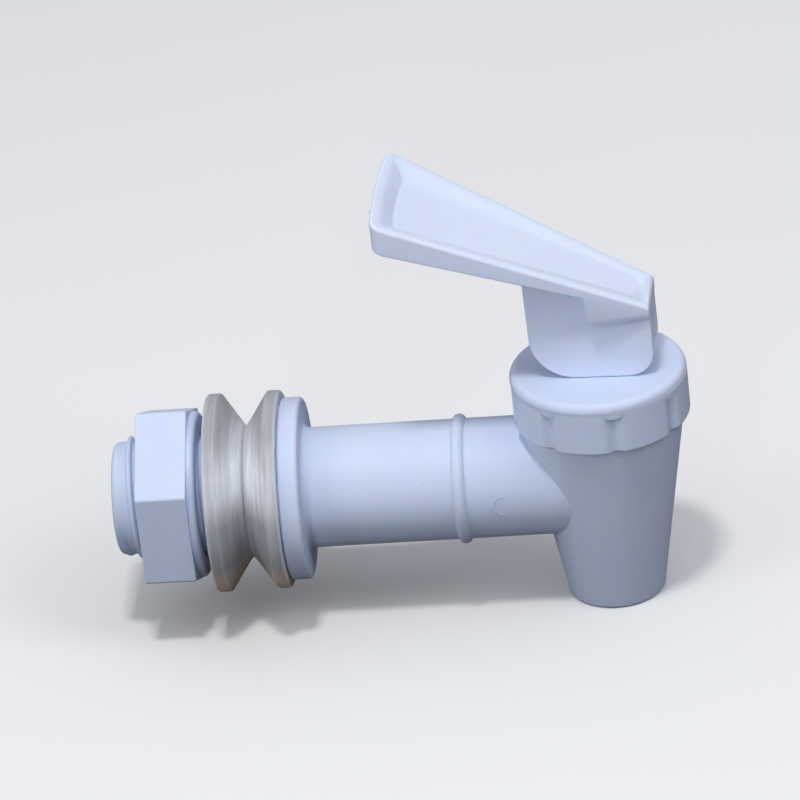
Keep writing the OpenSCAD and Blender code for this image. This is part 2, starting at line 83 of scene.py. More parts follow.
class Value:
    """A socket in a material's node tree. Python's operators on it add Math nodes."""

    def __init__(self, tree, socket=None):
        self.tree = tree
        self.socket = socket

    def node(self, kind, settings=None, inputs=None, out=0):
        """Adds a node, sets it, fills its inputs with numbers or links, and returns one output."""
        made = self.tree.nodes.new("ShaderNode" + kind)
        for name, value in (settings or {}).items():
            if name == "stops":
                for i, (place, colour) in enumerate(value):
                    stops = made.color_ramp.elements
                    stop = stops[i] if i < 2 else stops.new(place)
                    stop.position = place
                    stop.color = colour
            else:
                setattr(made, name, value)
        for name, value in (inputs or {}).items():
            if isinstance(value, Value):
                self.tree.links.new(value.socket, made.inputs[name])
            else:
                made.inputs[name].default_value = value
        return Value(self.tree, made.outputs[out])

    def math(self, operation, first, second=0.0):
        """Adds one Math node."""
        return self.node("Math", {"operation": operation}, {0: first, 1: second})

    def rising(self, start, end):
        """Goes from 0 at start to 1 at end and no further either way. End may be the lower one."""
        share = (self - start) / (end - start)
        return share.node("Clamp", None, {0: share})

    def blend(self, colour_a, colour_b):
        """Mixes two colours by this value."""
        return self.node("Mix", {"data_type": "RGBA"}, {0: self, 6: colour_a, 7: colour_b}, 2)

    def feed(self, shader, name):
        """Links this value to a shader's input."""
        self.tree.links.new(self.socket, shader.inputs[name])

    def __add__(self, other):
        return self.math("ADD", self, other)

    def __sub__(self, other):
        return self.math("SUBTRACT", self, other)

    def __rsub__(self, other):
        return self.math("SUBTRACT", other, self)

    def __mul__(self, other):
        return self.math("MULTIPLY", self, other)

    def __truediv__(self, other):
        return self.math("DIVIDE", self, other)

    def __gt__(self, other):
        return self.math("GREATER_THAN", self, other)

    def __abs__(self):
        return self.math("ABSOLUTE", self)

    __radd__ = __add__
    __rmul__ = __mul__


def new_material(name):
    """A material with its Principled shader and the piece's own coordinates."""
    material = bpy.data.materials.new(name)
    material.use_nodes = True
    tree = material.node_tree
    return material, tree.nodes["Principled BSDF"], Value(tree).node("TexCoord", out="Object")


def moulded_plastic(name, wave=plastic_wave, gloss=plastic_gloss, dark=plastic_shade, light=plastic_tint):
    """Bluish white moulded plastic: faint clouds, slight sink waves, fine grain and rare specks."""
    material, shader, place = new_material(name)
    cloud = place.node("TexNoise", None, {"Vector": place, "Scale": 70.0, "Detail": 3.0})
    grain = place.node("TexNoise", None, {"Vector": place, "Scale": 2600.0, "Detail": 2.0})
    sink = place.node("TexNoise", None, {"Vector": place, "Scale": 160.0, "Detail": 1.5})
    cell = {"Vector": place, "Scale": 1 / speck_cell}
    centre_way = place.node("TexVoronoi", None, cell, "Distance")
    near = centre_way.rising(speck_r / speck_cell, speck_r / speck_cell * 2 / 3)
    chance = place.node("TexVoronoi", None, cell, "Color")
    rare = place.node("SeparateColor", None, {0: chance}) > 1 - speck_share
    tint = cloud.blend(dark, light)
    (near * rare * 0.7).blend(tint, speck_tint).feed(shader, "Base Color")
    (gloss + cloud * 0.08 + grain * 0.04).feed(shader, "Roughness")
    fine = place.node("Bump", None, {"Height": grain, "Distance": 0.0012 * mm, "Strength": 1.0})
    bump = place.node("Bump", None, {"Height": sink, "Distance": wave, "Strength": 1.0, "Normal": fine})
    bump.feed(shader, "Normal")
    shader.inputs["Subsurface Weight"].default_value = 0.45
    shader.inputs["Subsurface Scale"].default_value = 1.1 * mm
    shader.inputs["IOR"].default_value = 1.49
    shader.inputs["Specular IOR Level"].default_value = 0.32
    return material


def dress(piece, material):
    """Gives a piece its material."""
    piece.data.materials.clear()
    piece.data.materials.append(material)


plastic = moulded_plastic("bluish_white_plastic")
dress(frame["nodes"]["body"], plastic)

# Shank thread
# A ridge with a blunt crest and a pitch of 2 mm, moulded on the shank from near its open end to
# the flange. The nut's own thread runs in the groove between its turns.
hair = 0.001 * mm
thread_pitch = 2 * mm
thread_root_r = 8.45 * mm
thread_crest_r = 9.2 * mm
thread_foot_w = 1.1 * mm
thread_crest_w = 0.48 * mm
thread_sunk = 0.04 * mm
thread_edge = 0.1 * mm
thread_start_x = -24.4 * mm
thread_turns = 11
thread_runout = 0.6
thread_end_height = 0.04
thread_steps = 72


def select_only(*pieces):
    """Leaves just these pieces selected, the first of them active."""
    bpy.ops.object.select_all(action="DESELECT")
    for piece in pieces:
        piece.select_set(True)
    bpy.context.view_layer.objects.active = pieces[0]


def start_piece(name, primitive, **settings):
    """Adds a primitive by itself and opens it in edit mode."""
    bpy.ops.object.select_all(action="DESELECT")
    primitive(**settings)
    piece = bpy.context.object
    piece.name = name
    bpy.ops.object.transform_apply(location=True, rotation=True, scale=True)
    bpy.ops.object.mode_set(mode="EDIT")
    bpy.ops.mesh.select_mode(type="VERT")
    return piece


def parts_of(shape, kind):
    """A mesh's vertices, edges or faces."""
    return {"VERT": shape.verts, "EDGE": shape.edges, "FACE": shape.faces}[kind]


def pick(piece, kind, test, among=False):
    """In edit mode, selects the vertices, edges or faces that pass a test, of all or those selected."""
    shape = bmesh.from_edit_mesh(piece.data)
    found = [p.index for p in parts_of(shape, kind) if (p.select or not among) and test(p)]
    bpy.ops.mesh.select_mode(type=kind)
    bpy.ops.mesh.select_all(action="DESELECT")
    shape = bmesh.from_edit_mesh(piece.data)
    parts = parts_of(shape, kind)
    parts.ensure_lookup_table()
    for i in found:
        parts[i].select_set(True)
    shape.select_flush_mode()
    bmesh.update_edit_mesh(piece.data)


def apply_modifier(piece, kind, **settings):
    """Adds a modifier, sets it and applies it."""
    select_only(piece)
    modifier = piece.modifiers.new(kind.title(), kind)
    for name, value in settings.items():
        setattr(modifier, name, value)
    bpy.ops.object.modifier_apply(modifier=modifier.name)


def settle(piece):
    """Moves a piece's turn and place into its mesh."""
    select_only(piece)
    bpy.ops.object.transform_apply(location=True, rotation=True, scale=True)


def draw_outline(name, corners):
    """Draws a closed outline of (X, Z) corners in the XZ plane by extruding one vertex."""
    piece = start_piece(name, bpy.ops.mesh.primitive_plane_add, size=mm)
    bpy.ops.mesh.select_all(action="SELECT")
    bpy.ops.mesh.merge(type="CENTER")
    bpy.ops.transform.translate(value=(corners[0][0], 0, corners[0][1]))
    for (x0, z0), (x1, z1) in zip(corners, corners[1:]):
        step = {"value": (x1 - x0, 0, z1 - z0)}
        bpy.ops.mesh.extrude_region_move(TRANSFORM_OT_translate=step)
    first = Vector((corners[0][0], 0, corners[0][1]))
    last = Vector((corners[-1][0], 0, corners[-1][1]))
    pick(piece, "VERT", lambda v: min((v.co - first).length, (v.co - last).length) < hair)
    bpy.ops.mesh.edge_face_add()
    return piece


def thread_ridge(name, foot_r, crest_r, start_x, turns, runout):
    """Sweeps a blunt tooth along a right-hand helix about the X axis, with its ends run out."""
    corners = [(-thread_foot_w / 2, foot_r), (-thread_crest_w / 2, crest_r),
               (thread_crest_w / 2, crest_r), (thread_foot_w / 2, foot_r)]
    ridge = draw_outline(name, corners)
    bpy.ops.object.mode_set(mode="OBJECT")
    apply_modifier(ridge, "SCREW", axis="X", angle=math.tau, iterations=turns, steps=thread_steps,
                   render_steps=thread_steps, screw_offset=thread_pitch, use_merge_vertices=False)
    bpy.ops.object.mode_set(mode="EDIT")
    pick(ridge, "EDGE", lambda e: e.is_boundary)
    bpy.ops.mesh.edge_face_add()
    bpy.ops.mesh.select_all(action="SELECT")
    bpy.ops.mesh.normals_make_consistent(inside=False)
    bpy.ops.object.mode_set(mode="OBJECT")
    for vertex in ridge.data.vertices:
        turn = vertex.index // len(corners) / thread_steps
        height = min(1, min(turn, turns - turn) / runout)
        radius = math.hypot(vertex.co.y, vertex.co.z)
        wanted = foot_r + (radius - foot_r) * (thread_end_height + (1 - thread_end_height) * height)
        vertex.co.y *= wanted / radius
        vertex.co.z *= wanted / radius
        vertex.co.x += start_x
    ridge.rotation_euler.x = math.pi / 2
    settle(ridge)
    return ridge


thread = thread_ridge("shank_thread", thread_root_r - thread_sunk, thread_crest_r, thread_start_x,
                      thread_turns, thread_runout)
apply_modifier(thread, "BEVEL", width=thread_edge, segments=2, limit_method="ANGLE",
               angle_limit=math.radians(35))
bpy.ops.object.shade_smooth_by_angle(angle=math.radians(35))
dress(thread, plastic)
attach(thread, "tap")

# Mould mark
# The mould leaves a raised half ring on the near side of the barrel, between the rib and the
# chamber. It lies round the barrel's curve and stands less than a tenth of a millimetre proud.
barrel_r = 9 * mm
mark_x = 32.9 * mm
mark_r = 1.55 * mm
mark_wire_r = 0.13 * mm
mark_open_x = mark_x + 0.25 * mm
mark_flatness = 0.6

mark = start_piece("mould_mark", bpy.ops.mesh.primitive_torus_add, major_radius=mark_r,
                   minor_radius=mark_wire_r, major_segments=96, minor_segments=12,
                   rotation=(math.pi / 2, 0, 0), location=(mark_x, -barrel_r, 0))
pick(mark, "VERT", lambda v: v.co.x > mark_open_x)
bpy.ops.mesh.delete(type="VERT")
pick(mark, "EDGE", lambda e: e.is_boundary)
bpy.ops.mesh.edge_face_add()
bpy.ops.object.mode_set(mode="OBJECT")
for vertex in mark.data.vertices:
    sag = barrel_r - math.sqrt(barrel_r ** 2 - vertex.co.z ** 2)
    vertex.co.y = -barrel_r + sag + (vertex.co.y + barrel_r) * mark_flatness
bpy.ops.object.shade_smooth_by_angle(angle=math.radians(40))
dress(mark, plastic)
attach(mark, "tap")

# Cone washers
# Two alike, turned in translucent silicone, which lie nose to nose on the shank. They show fine
# rings, cloudy streaks and a slightly wavy rim. Their colour holds painted light too: a painted
# highlight band across the middle height, a painted highlight along each back edge, painted light
# at the noses' seam, and a painted brown tint low down for the light that passes through them.
washer_bore_r = 9.3 * mm
washer_r = 14.9 * mm
washer_t = 5.5 * mm
washer_rim_w = 2 * mm
washer_edge_r = 0.45 * mm
washer_nose_r = 9.75 * mm
washer_steps = 144
nose_gap = 0.1 * mm
nose_z = washer_t + 0.49 * nose_gap
rim_wave = 0.22 * mm
rim_wave_len = 9 * mm
clear_grey = (0.35, 0.36, 0.385, 1.0)
milky_grey = (0.5, 0.52, 0.57, 1.0)
# A painted highlight: the blue pair is a lit copy of the grey silicone, shown in a band across the middle
# height
highlight_clear_blue = (0.62, 0.66, 0.74, 1.0)
highlight_milky_blue = (0.93, 0.96, 1.0, 1.0)
# A painted highlight for the washers' back edges
painted_edge_highlight = (0.66, 0.71, 0.84, 1.0)
# Painted light for the noses' seam, lightening the crease where shade falls
painted_seam_light = (0.93, 0.95, 0.99, 1.0)
# A painted brown tint for low down, standing for the light that passes through the silicone
painted_low_brown = (0.84, 0.66, 0.51, 1.0)
# Height of the middle of the painted highlight band
highlight_band_z = 7.3 * mm


def corner_points(before, corner, after, radius, steps=5):
    """Points of the arc that rounds one (X, Z) corner of an outline."""
    if radius == 0:
        return [corner]
    a = Vector(before) - Vector(corner)
    b = Vector(after) - Vector(corner)
    half = a.angle(b) / 2
    reach = radius / math.tan(half)
    middle = Vector(corner) + (a.normalized() + b.normalized()).normalized() * radius / math.sin(half)
    first = Vector(corner) + a.normalized() * reach - middle
    last = Vector(corner) + b.normalized() * reach - middle
    swing = first.angle_signed(last)
    points = []
    for i in range(steps + 1):
        turn = swing * i / steps
        points.append((middle.x + first.x * math.cos(turn) + first.y * math.sin(turn),
                       middle.y - first.x * math.sin(turn) + first.y * math.cos(turn)))
    return points


def turned(name, corners, steps):
    """Turns an outline of (radius, height, rounding) corners about the Z axis."""
    flat = [(r, z) for r, z, _ in corners]
    outline = []
    for i, (_, _, rounding) in enumerate(corners):
        outline += corner_points(flat[i - 1], flat[i], flat[(i + 1) % len(flat)], rounding)
    piece = draw_outline(name, outline)
    bpy.ops.mesh.select_all(action="SELECT")
    bpy.ops.mesh.spin(steps=steps, angle=math.tau, center=(0, 0, 0), axis=(0, 0, 1),
                      use_auto_merge=True)
    bpy.ops.mesh.select_all(action="SELECT")
    bpy.ops.mesh.remove_doubles(threshold=hair)
    bpy.ops.mesh.normals_make_consistent(inside=False)
    return piece


def stand_on_x(piece, toward):
    """Lays a turned piece along the X axis, its height running towards +X or -X."""
    piece.rotation_euler.y = math.copysign(math.pi / 2, toward)
    settle(piece)


def washer_silicone(name):
    """Translucent silicone with turning rings, cloudy streaks, painted highlights and a painted brown tint
    low down.
    """
    material, shader, place = new_material(name)
    x, y, z = (place.node("SeparateXYZ", None, {0: place}, axis) for axis in "XYZ")
    around = place.math("ARCTAN2", y, z)
    off_axis = place.math("SQRT", y * y + z * z)
    ring_place = place.node("CombineXYZ", None, {"X": x / mm, "Y": around * 0.6, "Z": off_axis / mm})
    rings = place.node("TexNoise", None, {"Vector": ring_place, "Scale": 2.4, "Detail": 4.0,
                                          "Roughness": 0.65})
    streaks = place.node("TexNoise", None, {"Vector": ring_place, "Scale": 0.9, "Detail": 3.0,
                                            "Distortion": 0.4})
    milk = place.node("ValToRGB", {"stops": [(0.38, (0, 0, 0, 1)), (0.66, (1, 1, 1, 1))]}, {0: streaks})
    fine_rings = rings.rising(0.36, 0.6725) * 0.55 + milk * 0.45
    nose_way = abs(x + washer_t + nose_gap / 2)
    # Painted light: near the noses' seam, where shade falls in the crease, the silicone is lightened
    # towards white
    seam_light_mask = nose_way.rising(0.9 * mm, 0)
    on_rim = nose_way.rising(3.3 * mm, 3.8 * mm)
    # A painted highlight: a thin pale blue line along each washer's back edge
    back_edge_highlight = nose_way.rising(washer_t - 0.35 * mm, washer_t - 0.1 * mm)
    # A painted highlight in a band across the middle height, weaker on the rim, lightens the silicone from
    # grey to blue
    painted_highlight_band = abs(z - highlight_band_z).rising(5.67 * mm, 1.47 * mm)
    # A painted tint: low down the washers turn brownish, standing for light that passes through the
    # silicone
    low = z.rising(-5.5 * mm, -9 * mm)
    cloudy = fine_rings.blend(clear_grey, milky_grey)
    highlight_colour = fine_rings.blend(highlight_clear_blue, highlight_milky_blue)
    band_highlighted = (painted_highlight_band * (1 - on_rim * 0.45)).blend(cloudy, highlight_colour)
    edge_highlighted = (back_edge_highlight * 0.7).blend(band_highlighted, painted_edge_highlight)
    seam_lit = (seam_light_mask * 0.5).blend(edge_highlighted, painted_seam_light)
    (low * (0.6 + milk * 0.4)).blend(seam_lit, painted_low_brown).feed(shader, "Base Color")
    (0.34 + rings * 0.2).feed(shader, "Roughness")
    bump = place.node("Bump", None, {"Height": rings, "Distance": 0.035 * mm, "Strength": 1.0})
    bump.feed(shader, "Normal")
    shader.inputs["IOR"].default_value = 1.41
    shader.inputs["Transmission Weight"].default_value = 0.1
    shader.inputs["Subsurface Weight"].default_value = 0.7
    shader.inputs["Subsurface Scale"].default_value = 2 * mm
    shader.inputs["Subsurface Radius"].default_value = (1.0, 0.9, 0.8)
    return material


silicone = washer_silicone("turned_silicone")
flutter = bpy.data.textures.new("washer_flutter", "CLOUDS")
flutter.noise_scale = rim_wave_len
for node, body, back_x, toward in (("outer_washer", "tap", 0, -1),
                                   ("inner_washer", "washer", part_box("inner_washer")[0].x, 1)):
    washer = turned(node + "_silicone", [
        (washer_bore_r, 0, 0), (washer_r, 0, washer_edge_r), (washer_r, washer_rim_w, washer_edge_r),
        (washer_nose_r, nose_z, 0), (washer_bore_r, nose_z, 0)], washer_steps)
    pick(washer, "EDGE", lambda e: abs(e.verts[0].co.z - e.verts[1].co.z) > 2 * mm)
    bpy.ops.mesh.subdivide(number_cuts=5)
    bpy.ops.object.mode_set(mode="OBJECT")
    stand_on_x(washer, toward)
    washer.location.x = back_x
    settle(washer)
    apply_modifier(washer, "DISPLACE", texture=flutter, texture_coords="LOCAL", strength=rim_wave,
                   mid_level=0.75)
    nose_x = back_x + toward * nose_z
    for vertex in washer.data.vertices:
        if abs(vertex.co.x - nose_x) < 0.3 * mm:
            vertex.co.x = nose_x
    bpy.ops.object.shade_smooth_by_angle(angle=math.radians(40))
    dress(washer, silicone)
    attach(washer, body)
    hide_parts(node)

# Lock nut
# A plain hexagon with straight ends and a low round collar in front. It is one moulding with a
# thread inside that meshes with the shank's, and in the photograph it stands slack.
nut_front_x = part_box("lock_nut")[1].x
nut_collar_r = 12.45 * mm
nut_collar_len = 1.1 * mm
nut_collar_round = 0.75 * mm
nut_collar_sunk = 0.3 * mm
nut_back = 8.7 * mm
nut_across_flats = 25.4 * mm
nut_bore_r = 9.28 * mm
nut_lead_front = 0.2 * mm
nut_lead_back = 0.6 * mm
nut_side_edge = 0.3 * mm
nut_end_edge = 0.2 * mm
nut_turn = math.radians(2.4)
nut_steps = 192
nut_thread_turns = 3
nut_thread_sunk = 0.05 * mm
nut_thread_gap = 0.1 * mm
nut_thread_start_x = thread_start_x + 2.5 * thread_pitch
nut_thread_runout = 0.2
tool_past = 1 * mm

nut = start_piece("lock_nut_moulding", bpy.ops.mesh.primitive_cylinder_add, vertices=6,
                  radius=nut_across_flats / math.sqrt(3), depth=nut_back - nut_collar_len,
                  location=(0, 0, (nut_back + nut_collar_len) / 2))
pick(nut, "EDGE", lambda e: abs(e.verts[0].co.z - e.verts[1].co.z) > mm)
bpy.ops.mesh.bevel(offset=nut_side_edge, segments=4, affect="EDGES")
pick(nut, "EDGE", lambda e: abs(e.verts[0].co.z - e.verts[1].co.z) < hair)
bpy.ops.mesh.bevel(offset=nut_end_edge, segments=3, affect="EDGES")
bpy.ops.object.mode_set(mode="OBJECT")


def cut_by(piece, tool, operation):
    """Joins a piece with a tool or cuts it by the tool, which is used up."""
    bpy.ops.object.mode_set(mode="OBJECT")
    apply_modifier(piece, "BOOLEAN", object=tool, operation=operation, solver="EXACT")
    bpy.data.objects.remove(tool)


nut_collar = turned("nut_collar", [
    (nut_bore_r - tool_past, 0, 0), (nut_collar_r, 0, nut_collar_round),
    (nut_collar_r, nut_collar_len + nut_collar_sunk, 0),
    (nut_bore_r - tool_past, nut_collar_len + nut_collar_sunk, 0)], nut_steps)
cut_by(nut, nut_collar, "UNION")
nut_bore = turned("nut_bore", [
    (0, -tool_past, 0), (nut_bore_r + nut_lead_front + tool_past, -tool_past, 0),
    (nut_bore_r, nut_lead_front, 0.1 * mm), (nut_bore_r, nut_back - nut_lead_back, 0.2 * mm),
    (nut_bore_r + nut_lead_back + tool_past, nut_back + tool_past, 0), (0, nut_back + tool_past, 0)],
    nut_steps)
cut_by(nut, nut_bore, "DIFFERENCE")
stand_on_x(nut, -1)
nut.rotation_euler.x = math.pi / 2 + nut_turn
nut.location.x = nut_front_x
settle(nut)
nut_thread = thread_ridge("nut_thread", nut_bore_r + nut_thread_sunk, thread_root_r + nut_thread_gap,
                          nut_thread_start_x, nut_thread_turns, nut_thread_runout)
select_only(nut, nut_thread)
bpy.ops.object.join()
bpy.ops.object.shade_smooth_by_angle(angle=math.radians(28))
apply_modifier(nut, "WEIGHTED_NORMAL", keep_sharp=True)
dress(nut, moulded_plastic("nut_plastic", gloss=0.48))
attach(nut, "nut")
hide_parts("lock_nut")

# Seat cup and spring
# The silicone bell is clamped under the cap and its plug closes the throat. The stainless spring
# stands in it between the cap and the stem.
spout_x = (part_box("bonnet_cap")[0].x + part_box("bonnet_cap")[1].x) / 2
cup_shade = (0.62, 0.63, 0.63, 1.0)
cup_tint = (0.78, 0.79, 0.79, 1.0)
wire_shade = (0.5, 0.5, 0.51, 1.0)
wire_tint = (0.68, 0.68, 0.69, 1.0)


def free_copy(node, name):
    """A copy of a node's mesh as a piece of its own, with its loose triangles merged."""
    piece = bpy.data.objects.new(name, frame["nodes"][node].data.copy())
    bpy.context.scene.collection.objects.link(piece)
    select_only(piece)
    bpy.ops.object.mode_set(mode="EDIT")
    bpy.ops.mesh.select_all(action="SELECT")
    bpy.ops.mesh.remove_doubles(threshold=hair)
    bpy.ops.object.mode_set(mode="OBJECT")
    return piece


def cup_silicone(name):
    """Milky silicone with a soft sheen and faint clouds."""
    material, shader, place = new_material(name)
    cloud = place.node("TexNoise", None, {"Vector": place, "Scale": 300.0, "Detail": 3.0})
    cloud.blend(cup_shade, cup_tint).feed(shader, "Base Color")
    (0.42 + cloud * 0.15).feed(shader, "Roughness")
    bump = place.node("Bump", None, {"Height": cloud, "Distance": 0.01 * mm, "Strength": 1.0})
    bump.feed(shader, "Normal")
    shader.inputs["Subsurface Weight"].default_value = 0.4
    shader.inputs["Subsurface Scale"].default_value = 1 * mm
    return material


def spring_wire(name):
    """Bright drawn stainless wire with fine die lines."""
    material, shader, place = new_material(name)
    lines = place.node("TexNoise", None, {"Vector": place, "Scale": 4000.0, "Detail": 2.0})
    lines.blend(wire_shade, wire_tint).feed(shader, "Base Color")
    (0.24 + lines * 0.14).feed(shader, "Roughness")
    bump = place.node("Bump", None, {"Height": lines, "Distance": 0.003 * mm, "Strength": 1.0})
    bump.feed(shader, "Normal")
    shader.inputs["Metallic"].default_value = 1.0
    return material


cup = free_copy("seat_cup", "seat_cup_silicone")
bpy.ops.object.shade_smooth_by_angle(angle=math.radians(30))
dress(cup, cup_silicone("milky_silicone"))
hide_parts("seat_cup")
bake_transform(cup)

coil = free_copy("spring", "spring_coil")
apply_modifier(coil, "SUBSURF", levels=1, render_levels=1)
bpy.ops.object.shade_smooth_by_angle(angle=math.radians(50))
dress(coil, spring_wire("stainless_wire"))
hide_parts("spring")
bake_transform(coil)

# Stem
# One slim moulding in the same plastic: head and pivots for the lever, plate for the spring, knob
# for the plug. Its solid has the finished shape.
dress(frame["nodes"]["stem"], plastic)

# Bonnet cap
# A round screw cap with a soft top edge, a plain rim and eight shallow grip flutes that run out
# through its foot. It is moulded in the same plastic and screwed down on the collar.
cap_low, cap_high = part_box("bonnet_cap")
cap_rim_r = 13.12 * mm
cap_side_r = 13.09 * mm
cap_hole_r = 2.38 * mm
cap_inside_r = 11.5 * mm
cap_plate_z = cap_high.z - 2.3 * mm
cap_rim_z = cap_high.z - 1.4 * mm
cap_top_round = 1.2 * mm
cap_hole_round = 0.2 * mm
cap_foot_round = 0.3 * mm
cap_inside_round = 0.15 * mm
cap_mismatch = 0.1 * mm
cap_steps = 288
flute_top_z = cap_high.z - 2.4 * mm
flute_end = 0.2 * mm
flute_count = 8
flute_depth = 0.66 * mm
flute_turn = math.radians(11)
flute_columns = 5
column_angle = math.tau / cap_steps

cap = turned("bonnet_cap_moulding", [
    (cap_hole_r, cap_plate_z, 0), (cap_hole_r, cap_high.z, cap_hole_round),
    (cap_rim_r, cap_high.z, cap_top_round), (cap_rim_r, cap_rim_z, 0),
    (cap_side_r, cap_rim_z, 0), (cap_side_r, flute_top_z, 0), (cap_side_r, flute_top_z - flute_end, 0),
    (cap_side_r, cap_low.z, cap_foot_round), (cap_inside_r, cap_low.z, cap_inside_round),
    (cap_inside_r, cap_plate_z, 0)], cap_steps)


def from_flute(vertex):
    """Angle of a vertex from the middle of the nearest flute, before the cap is turned to its place."""
    pitch = math.tau / flute_count
    return (math.atan2(vertex.co.y, vertex.co.x) + pitch / 2) % pitch - pitch / 2


for column in range(-flute_columns, flute_columns + 1):
    share = math.cos(math.pi / 2 * column / (flute_columns + 0.5)) ** 2
    squeeze = (cap_side_r - flute_depth * share) / cap_side_r
    pick(cap, "VERT", lambda v: abs(from_flute(v) - column * column_angle) < column_angle / 4
         and v.co.z < flute_top_z - flute_end / 2 and v.co.to_2d().length > cap_side_r - 0.5 * mm)
    bpy.ops.transform.resize(value=(squeeze, squeeze, 1), center_override=(0, 0, 0))
bpy.ops.object.mode_set(mode="OBJECT")
cap.rotation_euler.z = flute_turn
cap.location.x = spout_x
settle(cap)

# The mould's two halves met a little out of line, so all below the rim stands off to one side
for vertex in cap.data.vertices:
    off_axis = math.hypot(vertex.co.x - spout_x, vertex.co.y)
    if vertex.co.z < cap_rim_z + hair and off_axis < cap_side_r + 10 * hair:
        vertex.co.x += cap_mismatch
bpy.ops.object.shade_smooth_by_angle(angle=math.radians(40))
apply_modifier(cap, "WEIGHTED_NORMAL", keep_sharp=True)
dress(cap, plastic)
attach(cap, "tap")
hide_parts("bonnet_cap")

# Lever
# One moulding: a paddle with a scooped face, two cheeks that straddle the stem's head and roll on
# the cap, and a skirt beside each cheek. Every edge is softly rounded.
lever_tint = (0.67, 0.745, 0.925, 1.0)
lever_shade = (0.63, 0.71, 0.89, 1.0)
lever_wave = 0.03 * mm
lever_gloss = 0.42
lever_turn = math.radians(-3)
paddle_front = 9 * mm
paddle_back = -29.8 * mm
paddle_len = paddle_front - paddle_back
middle_x = (paddle_front + paddle_back) / 2
end_w = 10 * mm
tip_w = 24.6 * mm
end_z = cap_high.z + 11.8 * mm
end_wall = 1 * mm
tip_wall = 4.6 * mm
top_slope = math.tan(math.radians(26))
tip_corner = 1.9 * mm
tip_bow = 0.4 * mm
side_rim = 1.0 * mm
tip_rim = 1.3 * mm
scoop_least_area = 120 * mm * mm
scoop_tip_depth = 1.7 * mm
scoop_tip_run = 1.6 * mm
scoop_end_depth = 0.2 * mm
scoop_end_run = 1.5 * mm
scoop_side_run = 4.7 * mm
scoop_steps = 6
cheek_outer = 4.3 * mm
cheek_inner = 2.4 * mm
cheek_back_top = -9.55 * mm
cheek_back = -9.1 * mm
cheek_front = 9.1 * mm
cheek_lean = cheek_back - cheek_back_top
cheek_lean_above = 0.4
cheek_foot = cap_high.z + 0.05 * mm
heel_cut = 6.45 * mm
toe_cut = 3.9 * mm
skirt_top_x = -0.4 * mm
skirt_foot_x = 0 * mm
skirt_inner_x = 0.65 * mm
skirt_z = cap_high.z + 10.8 * mm
skirt_lip = 4.65 * mm
skirt_rear_lip = 5.5 * mm
skirt_rear_drop = 1.65 * mm
skirt_front_drop = 1.2 * mm
past_lip = skirt_lip + 0.1 * mm
wall_x = 7.95 * mm
wall_z = cap_high.z + 6.2 * mm
wall_t = 1.3 * mm
wall_h = 9.6 * mm
wall_sunk = 0.3 * mm
pivot_z = next(j for j in frame["joints"] if j["name"] == "lever_tilt")["pos_m"][2]
socket_r = 1.58 * mm
socket_len = 6.6 * mm
rim_round = 0.55 * mm
edge_round = 0.28 * mm


def ridge_z(x):
    """Height of the paddle's upper edges."""
    return end_z + (paddle_front - x) * top_slope


def under_z(x):
    """Height of the paddle's lower edges."""
    return ridge_z(x) - end_wall - (tip_wall - end_wall) * (paddle_front - x) / paddle_len


def half_w(x):
    """Half of the paddle's width."""
    return end_w / 2 + (tip_w - end_w) / 2 * (paddle_front - x) / paddle_len


def move(x=0.0, z=0.0):
    """Moves the selected vertices along the lever or up."""
    bpy.ops.transform.translate(value=(x, 0, z))


def flatten_to(z):
    """Brings the selected vertices to one height."""
    bpy.ops.transform.resize(value=(1, 1, 0), center_override=(0, 0, z))


def widen(factor):
    """Scales the selected vertices across the lever."""
    bpy.ops.transform.resize(value=(1, factor, 1), center_override=(0, 0, 0))


lever = start_piece("lever_moulding", bpy.ops.mesh.primitive_cube_add, size=1,
                    location=(middle_x, 0, end_z - end_wall / 2),
                    scale=(paddle_len, end_w, end_wall))
pick(lever, "VERT", lambda v: v.co.x < middle_x)
widen(tip_w / end_w)
pick(lever, "VERT", lambda v: v.co.x < middle_x and v.co.z > end_z - end_wall / 2)
move(z=ridge_z(paddle_back) - end_z)
pick(lever, "VERT", lambda v: v.co.x < middle_x and v.co.z < end_z)
move(z=under_z(paddle_back) - end_z + end_wall)

# The tip's corners are rounded and its edge bowed
pick(lever, "EDGE", lambda e: all(v.co.x < middle_x for v in e.verts)
     and abs(e.verts[0].co.y - e.verts[1].co.y) < hair)
bpy.ops.mesh.bevel(offset=tip_corner, segments=7, affect="EDGES")
pick(lever, "EDGE", lambda e: all(v.co.x < paddle_back + hair for v in e.verts)
     and abs(e.verts[0].co.y - e.verts[1].co.y) > 5 * mm)
bpy.ops.mesh.subdivide(number_cuts=5)
tip_half = half_w(paddle_back) - tip_corner
for share in (0, 1 / 3, 2 / 3):
    pick(lever, "VERT", lambda v: v.co.x < paddle_back + hair
         and abs(abs(v.co.y) - share * tip_half) < 0.3 * mm)
    move(x=-tip_bow * (1 - share ** 2))


def is_floor(face):
    """The large face that looks up."""
    return face.normal.z > 0.5 and face.calc_area() > scoop_least_area


